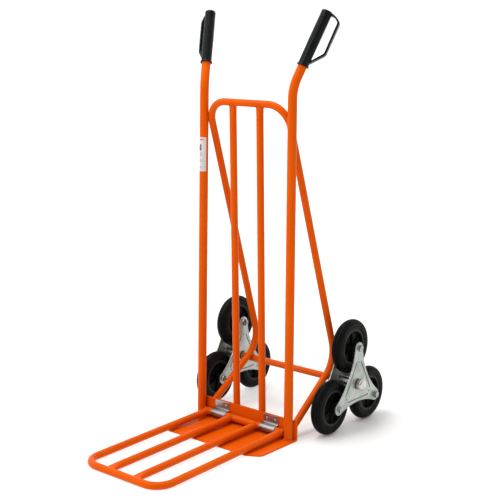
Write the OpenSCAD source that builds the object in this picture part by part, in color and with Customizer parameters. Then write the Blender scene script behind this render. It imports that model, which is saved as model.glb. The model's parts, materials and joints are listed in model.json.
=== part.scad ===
// Stair-climbing sack truck with a folding toe extension, millimetres.
// +X is to the right seen from the front, -Y points out along the toe, +Z is up.
// The origin is on the floor, midway between the two uprights.

/* [Uprights] */
// Distance between the uprights' centre lines at the floor
upright_spacing = 334; // [332:1:336]
// Distance between the uprights where the handles bend away
upright_top_spacing = 320; // [318:1:324]
// How far the uprights lean forwards at that height
upright_lean = 7; // [0:0.5:8]
// Outside diameter of the uprights
upright_d = 26; // [25:0.5:26]
// Wall thickness of the uprights and the back frame
tube_wall = 1.5; // [1:0.1:2.5]
// Height at which the handles bend away from the uprights
handle_bend_z = 1012; // [1005:1:1030]
// Radius of the handle bend
handle_bend_r = 140; // [120:5:180]
// How far each handle leans outwards
handle_out = 51; // [40:1:60]
// How far each handle leans backwards
handle_back = 82; // [70:1:90]
// Height of the top of the handles
handle_top_z = 1218; // [1200:1:1240]

/* [Back frame] */
// Outside diameter of the bent back loop and of the two back bars
loop_d = 21; // [20:0.5:21]
// Height of the loop's top bar
loop_top_z = 963; // [950:1:975]
// How far in front of the uprights' feet the top bar stands
loop_front = 10; // [8:0.5:12]
// Half distance between the loop's two legs at the top
loop_half_w = 143; // [142:0.5:144]
// Radius of the loop's top corners
loop_corner_r = 65; // [50:1:75]
// Half distance between the bends of the stays
stay_bend_x = 150; // [148:0.5:152]
// How far behind the uprights the stays bend
stay_bend_y = 254; // [253:0.5:255]
// Height at which the stays bend
stay_bend_z = 184.5; // [184:0.5:185]
// Radius of the stay bend
stay_bend_r = 85; // [60:1:95]
// Half distance between the feet of the stays
stay_foot_x = 158; // [155:1:160]
// Height of the foot of each stay at the flange
stay_foot_z = 15; // [14:0.5:16]
// Half distance between the two back bars
back_bar_x = 49; // [40:1:52]

/* [Toe plate] */
// Thickness of the bent plate
plate_t = 4; // [3:0.5:5]
// Half width of the plate
plate_half_w = 188; // [182:1:189]
// How far the toe reaches in front of the uprights
toe_depth = 172; // [150:1:200]
// Height of the flange behind the uprights
flange_h = 60; // [56:1:70]
// Radius of the plate's outer bend
plate_bend_r = 6; // [5:0.5:8]

/* [Folding extension] */
// Outside diameter of the extension's tubes
ext_d = 21; // [20:0.5:21]
// Wall thickness of the extension's tubes
ext_wall = 1.5; // [1:0.1:2]
// Half distance between the extension's side tubes
ext_half_w = 141; // [130:1:141]
// How far the extension's front tube lies in front of the uprights
ext_reach = 511; // [450:1:540]
// Radius of the extension's front corners
ext_corner_r = 52; // [40:1:60]
// Half distance between the extension's two middle bars
ext_bar_x = 48; // [40:1:52]
// Height of the fold axis
hinge_z = 20; // [18:0.5:22]

/* [Hinge brackets] */
// Distance of each bracket from the middle
bracket_x = 94; // [90:1:96]
// Length of each bracket along the fold axis
bracket_len = 55; // [40:1:56]
// Thickness of the bracket sheet
bracket_t = 2; // [1.5:0.1:2]
// Height of the bracket's upper edge
bracket_top_z = 58; // [50:0.5:59]

/* [Wheels] */
// Outside diameter of each wheel
wheel_d = 164; // [150:1:168]
// Width of each tyre
tyre_w = 34; // [34:1:38]
// Distance of each wheel from the centre of its star
wheel_circle_r = 110.5; // [108:0.5:115]
// How far the main axle lies behind the uprights
axle_y = 222.5; // [218:0.5:224]
// Diameter of the main axle
axle_d = 15; // [12:0.5:16]
// Outside diameter of the axle's cross tube
axle_tube_d = 21; // [20:0.5:22]
// Diameter of the wheel bolts
bolt_d = 10; // [8:0.5:10]

/* [Star brackets] */
// Distance from the middle to the inner face of each inner star plate
star_x = 187.5; // [186:0.5:192]
// Clear gap between the two plates of one star
star_gap = 61; // [58:0.5:64]
// Thickness of the star plates
star_t = 4; // [3:0.5:5]
// Radius of the rounded end of each arm
arm_r = 18; // [15:0.5:20]
// Distance from the centre to the hollow side of a star plate
star_waist = 54; // [48:0.5:58]

/* [Grips] */
// Length of each grip
grip_len = 164; // [140:1:168]
// Outside diameter of each grip
grip_d = 31; // [29:0.5:34]
// Distance from the grip's axis to the outer face of its guard
guard_reach = 46; // [42:0.5:52]
// Width of the guard strap
guard_w = 14; // [12:0.5:22]
// Thickness of the guard strap
guard_t = 4; // [3:0.5:6]

/* [Hidden] */
$fn = 72;
eps = 0.01;
far = 400;
tube_sides = 24;
bend_step = 9;

upright_x = upright_spacing / 2;
upright_top_x = upright_top_spacing / 2;
upright_r = upright_d / 2;
flange_y = upright_r;
flange_back_y = flange_y + plate_t;

// Handles
handle_rise = handle_top_z - handle_bend_z;
handle_v = [handle_out, handle_back, handle_rise];
handle_l = norm(handle_v);
handle_dir = handle_v / handle_l;
guard_lean = [0.9, 0.35, -0.35];
grip_bore_stop = 5;
grip_collar_r = grip_d / 2 + 2;
grip_collar_t = 4;

// Back frame
loop_r = loop_d / 2;
bar_foot_z = 22;
foot_gap = 0.12;
bar_foot_y = flange_back_y + loop_r + 0.05;

// Toe plate
toe_chamfer_x = 40;
toe_chamfer_y = 24;
toe_corner_r = 22;
flange_corner_r = 8;
edge_r = 0.5;

// Axle and stars
axle_r = axle_d / 2;
axle_z = wheel_d / 2 + wheel_circle_r / 2;
running_gap = 0.05;
end_gap = 0.4;
axle_tube_half = star_x - 5;
washer_t = 2;
bush_flange_t = 1.5;
bush_r = 12.5;
bush_flange_r = 15.5;
hub_r = 15;
cap_len = 16;
cap_r = 17;
cap_wall = 2;
star_outer_x = star_x + star_t + star_gap;
star_end_x = star_outer_x + star_t;
wheel_x = star_x + star_t + star_gap / 2;
arm_angles = [90, 210, 330];
places = ["top", "front", "rear"];
rivet_r = 2;
rivet_head_r = 3.6;
rivet_z = 46;
rivet_step = 15;

// Star outline: arcs of waist_r around waist_c blend into the round arm ends
arm_less = arm_r - star_waist;
waist_c = (pow(wheel_circle_r, 2) - pow(arm_less, 2)) / (wheel_circle_r + 2 * arm_less);
waist_r = waist_c - star_waist;

// Wheels
wheel_r = wheel_d / 2;
bolt_r = bolt_d / 2;
hub_half = 25;
wheel_hub_r = 15;
wheel_bush_r = 8;
rim_r = 50;
rim_lip_r = 54;
rim_half = 15;
rim_wall = 4;
rim_lip_t = 2.5;
web_half = 3;
rib_count = 6;
rib_t = 3.5;
rib_half = 12;
shoulder_r = 15;
spacer_len = star_gap / 2 - hub_half - 0.3;
head_af = 17;
head_h = 6.5;
nut_h = 9;
bolt_washer_r = 10;
bolt_washer_t = 2;
label_half_angle = 72;
label_low_z = 757;
label_h = 100;
label_t = 0.3;

orange = [0.93, 0.36, 0.06];
zinc = [0.78, 0.79, 0.77];
black = [0.08, 0.08, 0.09];

// ---- Vectors and frames ----
function unit(v) = v / norm(v);
function mirror_x(v, side) = [v[0] * side, v[1], v[2]];
// Matrix that puts local X, Y and Z along the three given directions at point p
function place(x, y, z, p) = [
    [x[0], y[0], z[0], p[0]], [x[1], y[1], z[1], p[1]], [x[2], y[2], z[2], p[2]], [0, 0, 0, 1]];
function any_normal(z) = unit(cross(abs(z[0]) < 0.9 ? [1, 0, 0] : [0, 1, 0], z));
function along(z, p) = let (x = any_normal(z)) place(x, cross(z, x), z, p);
// Points of the rounded bend of radius r at b, on the way from a to c
function bend_points(a, b, c, r) = let (
    u = unit(b - a), v = unit(c - b), turn = acos(u * v), steps = ceil(turn / bend_step),
    inward = unit(v - (u * v) * u), start = b - u * r * tan(turn / 2))
    [for (i = [0:steps]) let (t = turn * i / steps)
        start + inward * r * (1 - cos(t)) + u * r * sin(t)];

// Centre line through all points, with bend radius radii[i] at inner point i + 1
function centre_line(points, radii) = let (last = len(points) - 1) concat([points[0]],
    [for (i = [1:last - 1]) each bend_points(points[i - 1], points[i], points[i + 1], radii[i - 1])],
    [points[last]]);

function tangent(p, i) = let (last = len(p) - 1)
    i == 0 ? unit(p[1] - p[0]) : i == last ? unit(p[last] - p[last - 1])
    : unit(unit(p[i + 1] - p[i]) + unit(p[i] - p[i - 1]));

// One normal per point, turned no more than the line itself turns
function normals(p) = [for (i = 0, n = any_normal(tangent(p, 0)); i < len(p);
    i = i + 1, n = i < len(p) ? let (t = tangent(p, i)) unit(n - (n * t) * t) : n) n];

// How far an end point at height h above the centre line draws back from a cross tube of radius cope
function drawn_back(cope, h) = sqrt(max(0, pow(cope, 2) - pow(h, 2)));

// Points of all cross sections; with cope set, both ends fit round a cross tube that runs along X
function rings(p, r, cope) = let (n = normals(p), last = len(p) - 1) [for (i = [0:last])
    let (t = tangent(p, i), x = n[i], y = cross(t, x), up = cross([1, 0, 0], t),
        back = i == 0 ? t : i == last ? -t : [0, 0, 0])
    each [for (k = [0:tube_sides - 1]) let (a = 360 * k / tube_sides, o = r * (cos(a) * x + sin(a) * y))
        p[i] + o + back * drawn_back(cope, o * up)]];

// Bent hollow tube: outer wall, inner wall and a ring at each end
module bent_tube(points, radii, r, wall, cope = 0) {
    line = centre_line(points, radii);
    m = tube_sides;
    inner = len(line) * m;
    last = inner - m;
    quads = [for (k = [0:m - 1]) let (j = (k + 1) % m) each concat(
        [for (i = [0:len(line) - 2]) each [
            [i * m + k, (i + 1) * m + k, (i + 1) * m + j, i * m + j],
            [inner + i * m + j, inner + (i + 1) * m + j, inner + (i + 1) * m + k, inner + i * m + k]]],
        [[k, j, inner + j, inner + k],
         [last + j, last + k, inner + last + k, inner + last + j]])];
    polyhedron(concat(rings(line, r, cope), rings(line, r - wall, cope)), quads);
}

// Straight hollow tube from a to b
module straight_tube(a, b, r, wall) {
    multmatrix(along(unit(b - a), a)) difference() {
        cylinder(r = r, h = norm(b - a));
        translate([0, 0, -1]) cylinder(r = r - wall, h = norm(b - a) + 2);
    }
}

// Solid bar of radius r along X, centred at the given y and z
module bar_x(r, half, y, z) {
    translate([-half, y, z]) rotate([0, 90, 0]) cylinder(r = r, h = 2 * half);
}

// Round solid with its axis along X, from x to x + h
module disc_x(r, x, h, y, z) {
    translate([x, y, z]) rotate([0, 90, 0]) cylinder(r = r, h = h);
}

// ---- Uprights and back frame ----
// Points on the centre line of an upright: on the floor and where the handle bends away
function upright_foot(side) = [side * upright_x, 0, 0];
function upright_top(side) = [side * upright_top_x, -upright_lean, handle_bend_z];
function upright_dir(side) = unit(upright_top(side) - upright_foot(side));

module upright(side) {
    foot = upright_foot(side) + upright_dir(side) * (plate_t + foot_gap);
    bend = upright_top(side);
    tip = bend + mirror_x(handle_dir, side) * (handle_l - grip_bore_stop);
    color(orange) bent_tube([foot, bend, tip], [handle_bend_r], upright_r, tube_wall);
}

module back_loop() {
    top = [for (side = [-1, 1]) [side * loop_half_w, -loop_front, loop_top_z]];
    bends = [for (side = [-1, 1]) [side * stay_bend_x, stay_bend_y, stay_bend_z]];
    feet = [for (side = [-1, 1]) [side * stay_foot_x, flange_back_y, stay_foot_z]];
    ends = [for (i = [0, 1]) feet[i] + unit(feet[i] - bends[i]) * loop_d];
    color(orange) difference() {
        bent_tube([ends[0], bends[0], top[0], top[1], bends[1], ends[1]],
            [stay_bend_r, loop_corner_r, loop_corner_r, stay_bend_r], loop_r, tube_wall);
        translate([-far, flange_back_y - far, -far]) cube([2 * far, far, 2 * far]);
        for (side = [-1, 1])
            multmatrix(along(upright_dir(side), upright_foot(side)))
                cylinder(r = upright_r, h = handle_bend_z);
        bar_x(axle_tube_d / 2, axle_tube_half, axle_y, axle_z);
    }
}

module back_bar(side) {
    foot = [side * back_bar_x, bar_foot_y, bar_foot_z];
    head = [side * back_bar_x, -loop_front, loop_top_z];
    color(orange) difference() {
        straight_tube(foot, head, loop_r, tube_wall);
        bar_x(loop_r, loop_half_w, -loop_front, loop_top_z);
        translate([-far, flange_back_y - far, 0]) cube([2 * far, far, flange_h]);
    }
}

module axle_tube() {
    color(orange) difference() {
        bar_x(axle_tube_d / 2, axle_tube_half, axle_y, axle_z);
        bar_x(axle_r, far, axle_y, axle_z);
    }
}

// ---- Toe plate ----
// Arc of n steps that rounds the corner b between a and c
function corner(a, b, c, r, n = 8) = let (
    u = unit(a - b), v = unit(c - b), half = acos(u * v) / 2,
    centre = b + unit(u + v) * (r / sin(half)),
    p = b + u * (r / tan(half)) - centre, q = b + v * (r / tan(half)) - centre)
    [for (i = [0:n]) centre + unit(p * (n - i) + q * i) * r];

// Closed outline through the given points, each with its own corner radius
function rounded(points, radii) = let (n = len(points)) [for (i = [0:n - 1])
    each corner(points[(i + n - 1) % n], points[i], points[(i + 1) % n], radii[i])];

module toe_outline() {
    front = -toe_depth;
    polygon(rounded(
        [[-plate_half_w, flange_y], [-plate_half_w, front + toe_chamfer_y],
         [toe_chamfer_x - plate_half_w, front], [plate_half_w - toe_chamfer_x, front],
         [plate_half_w, front + toe_chamfer_y], [plate_half_w, flange_y]],
        [edge_r, toe_corner_r, toe_corner_r, toe_corner_r, toe_corner_r, edge_r]));
}

module flange_outline() {
    polygon(rounded(
        [[-plate_half_w, plate_t], [plate_half_w, plate_t],
         [plate_half_w, flange_h], [-plate_half_w, flange_h]],
        [edge_r, edge_r, flange_corner_r, flange_corner_r]));
}

module rivet_places() {
    for (side = [-1, 1], step = [-1, 1])
        translate([side * bracket_x + step * rivet_step, 0, rivet_z]) rotate([-90, 0, 0]) children();
}

module base_plate() {
    color(orange) difference() {
        union() {
            linear_extrude(plate_t) toe_outline();
            translate([0, flange_back_y, 0]) rotate([90, 0, 0])
                linear_extrude(plate_t) flange_outline();
            intersection() {
                translate([-plate_half_w, flange_y - plate_bend_r + plate_t, plate_bend_r])
                    rotate([0, 90, 0]) cylinder(r = plate_bend_r, h = 2 * plate_half_w);
                translate([-plate_half_w, flange_y - 1, 0])
                    cube([2 * plate_half_w, plate_t + 1, plate_t + 1]);
            }
        }
        rivet_places() cylinder(r = rivet_r, h = far, center = true);
    }
}

// ---- Hinge brackets ----
// Sheet bracket: a flat flange on the plate that folds over the cross tube
module hinge_bracket(side) {
    inner = ext_d / 2 + running_gap;
    outer = inner + bracket_t;
    color(zinc) difference() {
        translate([side * bracket_x - bracket_len / 2, 0, hinge_z]) rotate([90, 0, 90])
            linear_extrude(bracket_len) {
                difference() {
                    circle(outer);
                    circle(inner);
                    translate([0, -far]) square([far, 2 * far]);
                    rotate(20) translate([-far, -2 * far]) square([2 * far, 2 * far]);
                }
                translate([0, inner]) square([flange_y, bracket_t]);
                translate([flange_y - bracket_t, inner])
                    square([bracket_t, bracket_top_z - hinge_z - inner]);
            }
        rivet_places() cylinder(r = rivet_r, h = far, center = true);
    }
}

module bracket_rivets() {
    head = 1.6;
    color(zinc) rivet_places() {
        translate([0, 0, flange_y - bracket_t]) cylinder(r = rivet_r, h = plate_t + bracket_t);
        translate([0, 0, flange_y - bracket_t - head])
            cylinder(r1 = rivet_r, r2 = rivet_head_r, h = head);
        translate([0, 0, flange_back_y]) cylinder(r1 = rivet_head_r, r2 = rivet_r, h = head);
    }
}

// ---- Folding extension ----
ext_r = ext_d / 2;
function ext_point(x, y) = [x, y, hinge_z + (hinge_z - ext_r) * y / ext_reach];

module extension_loop() {
    color([0.95, 0.38, 0.08]) bent_tube(
        [ext_point(-ext_half_w, 0), ext_point(-ext_half_w, -ext_reach),
         ext_point(ext_half_w, -ext_reach), ext_point(ext_half_w, 0)],
        [ext_corner_r, ext_corner_r], ext_r, ext_wall, ext_r);
}

module extension_bar(side) {
    color([0.95, 0.38, 0.08]) difference() {
        straight_tube(ext_point(side * ext_bar_x, 0), ext_point(side * ext_bar_x, -ext_reach),
            ext_r, ext_wall);
        bar_x(ext_r, far, 0, hinge_z);
        bar_x(ext_r, far, -ext_reach, ext_r);
    }
}

module extension_cross_tube() {
    half = ext_half_w + ext_r;
    color([0.95, 0.38, 0.08]) straight_tube([-half, 0, hinge_z], [half, 0, hinge_z], ext_r, ext_wall);
}

// ---- Axle ----
module both_sides() {
    for (side = [-1, 1]) scale_x(side) children();
}

module scale_x(side) {
    if (side > 0) children();
    else mirror([1, 0, 0]) children();
}

axle_end_x = star_end_x + bush_flange_t + end_gap + washer_t + cap_len - cap_wall - 2;

module axle_rod() {
    color("silver") bar_x(axle_r, axle_end_x, axle_y, axle_z);
}

module axle_washers() {
    color(zinc) both_sides() for (x = [axle_tube_half, star_end_x + bush_flange_t + end_gap])
        difference() {
            disc_x(bush_flange_r - 1, x, washer_t, axle_y, axle_z);
            disc_x(axle_r, x - eps, washer_t + 2 * eps, axle_y, axle_z);
        }
}

module axle_caps() {
    x = star_end_x + bush_flange_t + end_gap + washer_t;
    round_r = 3;
    color("gainsboro") both_sides() translate([x, axle_y, axle_z]) rotate([0, 90, 0])
        rotate_extrude() difference() {
            union() {
                square([cap_r, cap_len - round_r]);
                square([cap_r - round_r, cap_len]);
                translate([cap_r - round_r, cap_len - round_r]) circle(round_r);
            }
            square([axle_r, axle_end_x - x]);
            translate([-cap_r, -1]) square([cap_r, cap_len + 2]);
        }
}

// ---- Star brackets ----
function polar(r, a) = [r * cos(a), r * sin(a)];
// Where the waist arc at angle a meets the round end of the arm at angle b
function waist_meets(a, b) = let (arm = polar(wheel_circle_r, b))
    arm + unit(polar(waist_c, a) - arm) * arm_r;

module star_outline() {
    difference() {
        polygon([for (a = arm_angles, turn = [-60, 60]) waist_meets(a + turn, a)]);
        for (a = arm_angles) rotate(a + 60) translate([waist_c, 0]) circle(waist_r, $fn = 180);
    }
    for (a = arm_angles) rotate(a) translate([wheel_circle_r, 0]) circle(arm_r);
}

// Bolt positions of one star, seen along X
module arm_places() {
    for (a = arm_angles) let (p = polar(wheel_circle_r, a))
        translate([0, axle_y + p[0], axle_z + p[1]]) children();
}

module star_plate(x) {
    small_hole_r = 2.5;
    color(zinc) difference() {
        translate([x, axle_y, axle_z]) rotate([90, 0, 90]) linear_extrude(star_t) difference() {
            star_outline();
            circle(bush_r);
            for (a = arm_angles) rotate(a) {
                translate([wheel_circle_r, 0]) circle(bolt_r);
                translate([wheel_circle_r * 0.62, 0]) circle(small_hole_r);
            }
        }
    }
}

module star_hub() {
    color(zinc) difference() {
        disc_x(hub_r, star_x + star_t, star_gap, axle_y, axle_z);
        disc_x(bush_r, star_x, star_gap + 2 * star_t, axle_y, axle_z);
    }
}

module star_bush(x) {
    len = 22;
    translate([x, axle_y, axle_z]) rotate([0, 90, 0]) difference() {
        union() {
            cylinder(r = bush_r, h = len);
            translate([0, 0, -bush_flange_t]) cylinder(r = bush_flange_r, h = bush_flange_t);
        }
        translate([0, 0, -far]) cylinder(r = axle_r + running_gap, h = 2 * far);
    }
}

module star_bushes() {
    color("dimgray") {
        star_bush(star_x);
        translate([star_x + star_end_x, 0, 0]) mirror([1, 0, 0]) star_bush(star_x);
    }
}

// ---- Wheel bolts ----
module wheel_bolts() {
    tail = nut_h + bolt_washer_t + 3;
    color(zinc) arm_places() {
        disc_x(bolt_r, star_x - tail, star_end_x - star_x + tail + bolt_washer_t, 0, 0);
        translate([star_end_x + bolt_washer_t, 0, 0]) rotate([0, 90, 0])
            cylinder(d = head_af / cos(30), h = head_h, $fn = 6);
    }
}

module wheel_nuts() {
    color(zinc) arm_places() difference() {
        translate([star_x - bolt_washer_t - nut_h, 0, 0]) rotate([0, 90, 0])
            cylinder(d = head_af / cos(30), h = nut_h, $fn = 6);
        disc_x(bolt_r, 0, far, 0, 0);
    }
}

module wheel_washers() {
    color(zinc) arm_places() for (x = [star_x - bolt_washer_t, star_end_x]) difference() {
        disc_x(bolt_washer_r, x, bolt_washer_t, 0, 0);
        disc_x(bolt_r, x - eps, bolt_washer_t + 2 * eps, 0, 0);
    }
}

module wheel_spacers() {
    color(zinc) arm_places() for (x = [star_x + star_t, star_outer_x - spacer_len]) difference() {
        disc_x(wheel_bush_r, x, spacer_len, 0, 0);
        disc_x(bolt_r, x - eps, spacer_len + 2 * eps, 0, 0);
    }
}

// ---- Wheels ----
// Puts a wheel part, drawn around its own Z axis, on the arm at the given place
module on_arm(place_name) {
    p = polar(wheel_circle_r, arm_angles[search([place_name], places)[0]]);
    translate([wheel_x, axle_y + p[0], axle_z + p[1]]) rotate([0, 90, 0]) children();
}

// Half sections, radius along X and the wheel's axis along Y
module tyre_section() {
    half = tyre_w / 2;
    flat_half = half - shoulder_r;
    seat_half = rim_half - rim_lip_t;
    difference() {
        union() {
            translate([rim_r, -half]) square([wheel_r - shoulder_r - rim_r, tyre_w]);
            translate([rim_r, -flat_half]) square([wheel_r - rim_r, 2 * flat_half]);
            for (s = [-1, 1]) translate([wheel_r - shoulder_r, s * flat_half]) circle(shoulder_r);
        }
        for (s = [0, 1]) mirror([0, s]) translate([rim_r - 1, seat_half])
            square([rim_lip_r - rim_r + 1, half]);
        translate([0, -half]) square([rim_r, tyre_w]);
    }
}

module tyre() {
    color(black) rotate_extrude() tyre_section();
}

module rim_section() {
    translate([rim_r - rim_wall, -rim_half]) square([rim_wall, 2 * rim_half]);
    for (s = [-1, 1]) translate([rim_r - rim_wall, s > 0 ? rim_half - rim_lip_t : -rim_half])
        square([rim_lip_r - rim_r + rim_wall, rim_lip_t]);
    translate([wheel_bush_r, -web_half]) square([rim_r - rim_wall / 2 - wheel_bush_r, 2 * web_half]);
    translate([wheel_bush_r, -hub_half]) square([wheel_hub_r - wheel_bush_r, 2 * hub_half]);
}

module rim() {
    color([0.12, 0.12, 0.13]) {
        rotate_extrude() rim_section();
        for (i = [0:rib_count - 1]) rotate(i * 360 / rib_count)
            translate([wheel_hub_r - 1, -rib_t / 2, -rib_half])
                cube([rim_r - rim_wall - wheel_hub_r + 2, rib_t, 2 * rib_half]);
    }
}

module bush() {
    color("gray") difference() {
        cylinder(r = wheel_bush_r, h = 2 * hub_half, center = true);
        cylinder(r = bolt_r + running_gap, h = far, center = true);
    }
}

// ---- Grips ----
// Outline of the guard, [distance from the grip's axis, height above the grip's lower end]
guard_outer = [[8, 0], [guard_reach + 1, 50], [guard_reach, 147], [24, grip_len - 5], [6, grip_len - 1]];
guard_radii = [1, 14, 14, 30, 2];
guard_inner = [[grip_d / 2 - 1, 18], [guard_reach - guard_t + 0.5, 52.5],
    [guard_reach - guard_t - 0.5, 145], [26, grip_len - 10], [grip_d / 2 - 1, grip_len - 10]];
guard_inner_radii = [3, 10, 10, 5, 2];

module grip(side) {
    axis = mirror_x(handle_dir, side);
    lean = mirror_x(guard_lean, side);
    outward = unit(lean - (lean * axis) * axis);
    foot = upright_top(side) + axis * (handle_l - grip_len);
    color(black) multmatrix(place(outward, cross(axis, outward), axis, foot)) difference() {
        union() {
            cylinder(r = grip_d / 2, h = grip_len - 3);
            translate([0, 0, grip_len - 3]) cylinder(r1 = grip_d / 2, r2 = grip_d / 2 - 3, h = 3);
            cylinder(r = grip_collar_r, h = grip_collar_t);
            translate([0, guard_w / 2, 0]) rotate([90, 0, 0]) linear_extrude(guard_w) difference() {
                polygon(rounded(guard_outer, guard_radii));
                polygon(rounded(guard_inner, guard_inner_radii));
            }
        }
        translate([0, 0, -far]) cylinder(r = upright_r, h = far + grip_len - grip_bore_stop);
    }
}

module label() {
    color("white") multmatrix(along(upright_dir(-1), upright_foot(-1)))
        translate([0, 0, label_low_z]) rotate(-label_half_angle)
        rotate_extrude(angle = 2 * label_half_angle)
            translate([upright_r, 0]) square([label_t, label_h]);
}

upright(-1);  // upright_left
upright(1);  // upright_right
back_loop();
back_bar(-1);  // back_bar_left
back_bar(1);  // back_bar_right
base_plate();
axle_tube();
grip(-1);  // grip_left
grip(1);  // grip_right
label();
hinge_bracket(-1);  // hinge_bracket_left
hinge_bracket(1);  // hinge_bracket_right
bracket_rivets();
axle_rod();
axle_caps();
axle_washers();
extension_loop();
extension_bar(-1);  // extension_bar_left
extension_bar(1);  // extension_bar_right
extension_cross_tube();
for (side = ["left", "right"]) scale_x(side == "right" ? 1 : -1) {
    star_plate(star_x);
    star_plate(star_outer_x);
    star_hub();
    star_bushes();
    wheel_bolts();
    wheel_nuts();
    wheel_washers();
    wheel_spacers();
    for (place_name = places) on_arm(place_name) {
        tyre();
        rim();
        bush();
    }
}
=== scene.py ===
"""Looks of a stair-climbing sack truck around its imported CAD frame.

Shapes are written in millimetres, in the frame's own axes, and become metres in Shape.as_object().
"""

import json
import math

import bmesh
import bpy
from mathutils import Matrix, Vector, noise


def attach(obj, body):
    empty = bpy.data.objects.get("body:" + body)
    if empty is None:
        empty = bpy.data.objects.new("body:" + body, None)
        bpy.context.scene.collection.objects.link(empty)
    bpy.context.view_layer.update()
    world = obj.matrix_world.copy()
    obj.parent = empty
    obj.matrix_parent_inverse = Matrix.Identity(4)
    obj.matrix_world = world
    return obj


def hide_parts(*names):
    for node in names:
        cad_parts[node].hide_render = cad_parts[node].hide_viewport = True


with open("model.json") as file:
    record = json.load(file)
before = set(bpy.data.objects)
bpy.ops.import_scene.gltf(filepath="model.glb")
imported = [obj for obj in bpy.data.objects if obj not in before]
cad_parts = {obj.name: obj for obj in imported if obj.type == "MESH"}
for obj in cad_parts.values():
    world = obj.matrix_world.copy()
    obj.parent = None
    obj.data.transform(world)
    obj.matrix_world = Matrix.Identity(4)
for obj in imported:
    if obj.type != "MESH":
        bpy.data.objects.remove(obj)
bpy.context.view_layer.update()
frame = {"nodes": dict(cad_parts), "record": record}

MM = 0.001
SIDES = ("left", "right")
SIGN = {"left": -1, "right": 1}
PLACES = {"top": 90, "front": 210, "rear": 330}

# ---- Dimensions of the CAD part, in millimetres ----
UPRIGHT_X, UPRIGHT_TOP_X, UPRIGHT_LEAN, UPRIGHT_R = 167, 160, 7, 13
BEND_Z, BEND_R, HANDLE_OUT, HANDLE_BACK, HANDLE_TOP_Z = 1012, 140, 51, 82, 1218
LOOP_R, LOOP_TOP_Z, LOOP_FRONT, LOOP_HALF_W, LOOP_CORNER_R = 10.5, 963, 10, 143, 65
STAY_BEND, STAY_BEND_R, STAY_FOOT_X, STAY_FOOT_Z = (150, 254, 184.5), 85, 158, 15
BAR_X, BAR_FOOT_Z, WALL = 49, 22, 1.5
PLATE_T, PLATE_HALF_W, TOE_DEPTH, FLANGE_H, PLATE_BEND_R = 4, 188, 172, 60, 6
EXT_R, EXT_HALF_W, EXT_REACH, EXT_CORNER_R, EXT_BAR_X, HINGE_Z = 10.5, 141, 511, 52, 48, 20
BRACKET_X, BRACKET_LEN, BRACKET_T, BRACKET_TOP_Z = 94, 55, 2, 58
RIVET_Z, RIVET_STEP = 46, 15
AXLE_Y, AXLE_Z, AXLE_R, AXLE_TUBE_R = 222.5, 137.25, 7.5, 10.5
STAR_X, STAR_GAP, STAR_T, ARM_R, STAR_WAIST, CIRCLE_R = 187.5, 61, 4, 18, 54, 110.5
RIM_R, RIM_LIP_R, RIM_HALF, RIM_LIP, RIM_WALL, WHEEL_HUB_HALF = 50, 54, 15, 2.5, 4, 25
BOLT_R, HEAD_AF, HEAD_H, NUT_H, BOLT_WASHER_R, BOLT_WASHER_T = 5, 17, 6.5, 9, 10, 2
GRIP_LEN, GRIP_R, GUARD_REACH, GUARD_W, GUARD_T = 164, 15.5, 46, 14, 5.6
CAP_R, HUB_R, BUSH_R = 17, 15, 12.5
LABEL_LOW_Z, LABEL_H, LABEL_HALF_ANGLE = 757, 100, 72

FLANGE_Y = UPRIGHT_R
AXLE_TUBE_HALF = STAR_X - 5
FLANGE_BACK_Y = FLANGE_Y + PLATE_T
STAR_OUTER_X = STAR_X + STAR_T + STAR_GAP
STAR_END_X = STAR_OUTER_X + STAR_T
WHEEL_X = STAR_X + STAR_T + STAR_GAP / 2

# ---- Details that only this script has, in millimetres ----
OPEN_END_DEPTH = 9
GROOVE_FROM_CENTRE, GROOVE_DEPTH = 43.5, 2.9
GROOVE_MOUTH, GROOVE_FLOOR = (110, 5.6), (107, 2.6)  # length and width
SMALL_HOLE_R, SMALL_HOLE_AT = 2.5, CIRCLE_R * 0.62
TREAD_BLOCKS, TREAD_R, TREAD_OUT, TREAD_CUT = 60, (74.0, 79.2), (8.8, 14.7), 0.9
RIBS, RIB_FROM, RIB_MIDDLE, RIB_TO = 6, 14, 30, 47
RIDGE_CLEAR_LOW, RIDGE_CLEAR_HIGH, RIDGE_FADE, RIDGE_CUT = 14, 16, 8, 0.42
LABEL_STRIP_Z, LABEL_BLOCK_Z = (848, 852), (818, 836)
LABEL_LINES_Z = (810, 806, 802, 790, 786, 770, 766)
LABEL_LINE_H, LABEL_RISE = 1.6, 0.79  # rise is the label's share of the way up to the bend

# ---- Stage, in metres and degrees ----
# Painted light on the floor: its glow is strong far from this point under the wheels and fades near it.
GLOW_FADES_AT, GLOW_FADE = (0.14, 0.28, 0.0), (0.20, 0.48)
GLOW_FAR, GLOW_NEAR = 0.76, 0.06
FLOOR_HALF, FLOOR_DROP = 400, 0.0004
ROOM_BRIGHT, ROOM_DIM, DIM_FROM, DIM_TO = 1.05, 0.52, -0.1, 0.9
TOWARD_DIM, SUN_WAY = (0.62, -0.77, 0.12), (0.22, 0.42, -0.82)
SUN_STRENGTH, SUN_ANGLE = 1.0, 70
AZIMUTH, ELEVATION, ROLL = math.radians(39.069), math.radians(11.0), math.radians(0.9)
CAMERA_PLACE, SENSOR_MM, LENS_MM = (1.9360, -2.3677, 1.1351), 36, 77.49


# ---- Materials ----
def set_range(node, *numbers):
    for key, number in zip(("From Min", "From Max", "To Min", "To Max"), numbers):
        node.inputs[key].default_value = number


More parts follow.
